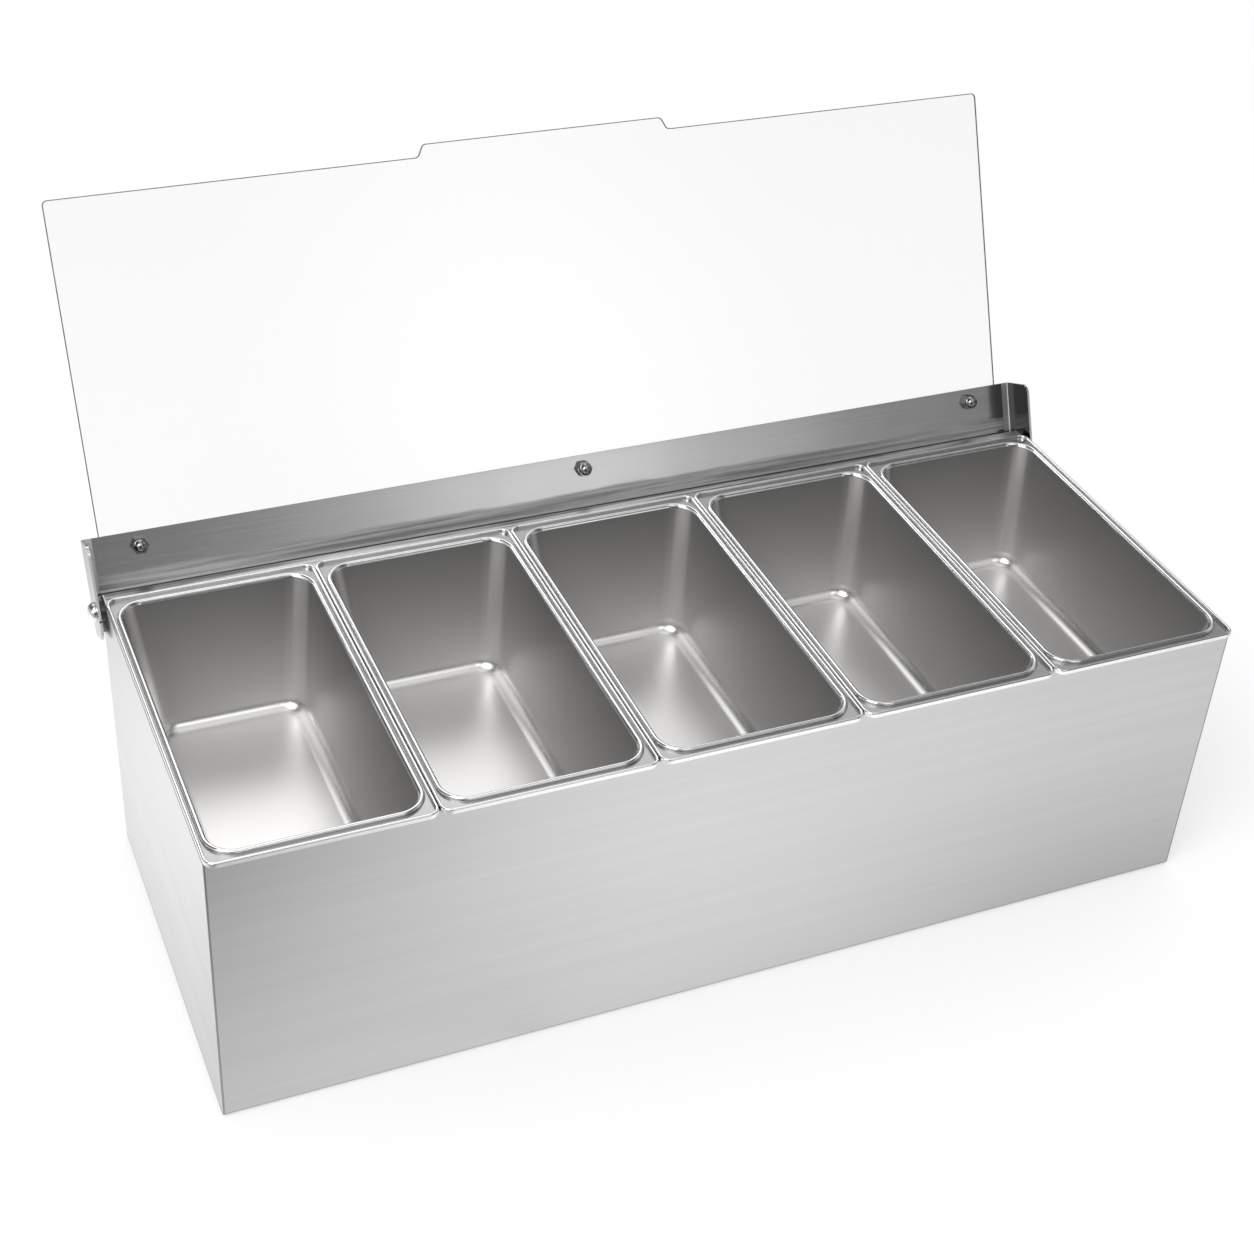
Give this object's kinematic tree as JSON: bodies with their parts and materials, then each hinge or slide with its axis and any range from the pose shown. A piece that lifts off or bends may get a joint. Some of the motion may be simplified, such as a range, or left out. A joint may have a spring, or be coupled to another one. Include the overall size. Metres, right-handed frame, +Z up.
{
  "type": "bar garnish tray",
  "caption": "Countertop condiment box: lift-out steel pans side by side in a sheet steel housing, under a clear lid hinged at the back.",
  "frame": {"origin": "centre of the housing's footprint, on the surface it stands on", "axes": "+Z up, -Y towards the user at the front, +X to the user's right along the row of pans"},
  "size_m": [0.4992, 0.2816, 0.307],
  "materials": {
    "housing_steel": "brushed lengthwise, satin",
    "pan_steel": "drawn and polished, satin inside, bright rim",
    "bracket_steel": "bright satin",
    "lid_plastic": "clear, glossy",
    "fastener_chrome": "polished",
    "spacer_steel": "turned"
  },
  "bodies": {
    "housing": {"housing_shell": "housing_steel", "end_panel_left": "housing_steel", "end_panel_right": "housing_steel", "pivot_screw_left": "fastener_chrome", "pivot_screw_right": "fastener_chrome", "pivot_spacer_left": "spacer_steel", "pivot_spacer_right": "spacer_steel", "pivot_nut_left": "spacer_steel", "pivot_nut_right": "spacer_steel"},
    "lid": {"hinge_bracket": "bracket_steel", "lid_panel": "lid_plastic", "cap_nut_left": "fastener_chrome", "cap_nut_centre": "fastener_chrome", "cap_nut_right": "fastener_chrome", "lid_screw_left": "fastener_chrome", "lid_screw_centre": "fastener_chrome", "lid_screw_right": "fastener_chrome", "lid_washer_left": "spacer_steel", "lid_washer_centre": "spacer_steel", "lid_washer_right": "spacer_steel"},
    "pan_1_body": {"pan_1": "pan_steel"},
    "pan_2_body": {"pan_2": "pan_steel"},
    "pan_3_body": {"pan_3": "pan_steel"},
    "pan_4_body": {"pan_4": "pan_steel"},
    "pan_5_body": {"pan_5": "pan_steel"}
  },
  "joints": [
    {"name": "lid_hinge", "type": "hinge", "parent": "housing", "child": "lid", "pos_m": [0, 0.0916, 0.139], "axis": [-1, 0, 0], "range_deg": [-114.9, 0]},
    {"name": "pan_1_lift", "type": "slide", "parent": "housing", "child": "pan_1_body", "axis": [0, 0, 1], "range_m": [0, 0.1]},
    {"name": "pan_2_lift", "type": "slide", "parent": "housing", "child": "pan_2_body", "axis": [0, 0, 1], "range_m": [0, 0.1]},
    {"name": "pan_3_lift", "type": "slide", "parent": "housing", "child": "pan_3_body", "axis": [0, 0, 1], "range_m": [0, 0.1]},
    {"name": "pan_4_lift", "type": "slide", "parent": "housing", "child": "pan_4_body", "axis": [0, 0, 1], "range_m": [0, 0.1]},
    {"name": "pan_5_lift", "type": "slide", "parent": "housing", "child": "pan_5_body", "axis": [0, 0, 1], "range_m": [0, 0.1]}
  ]
}
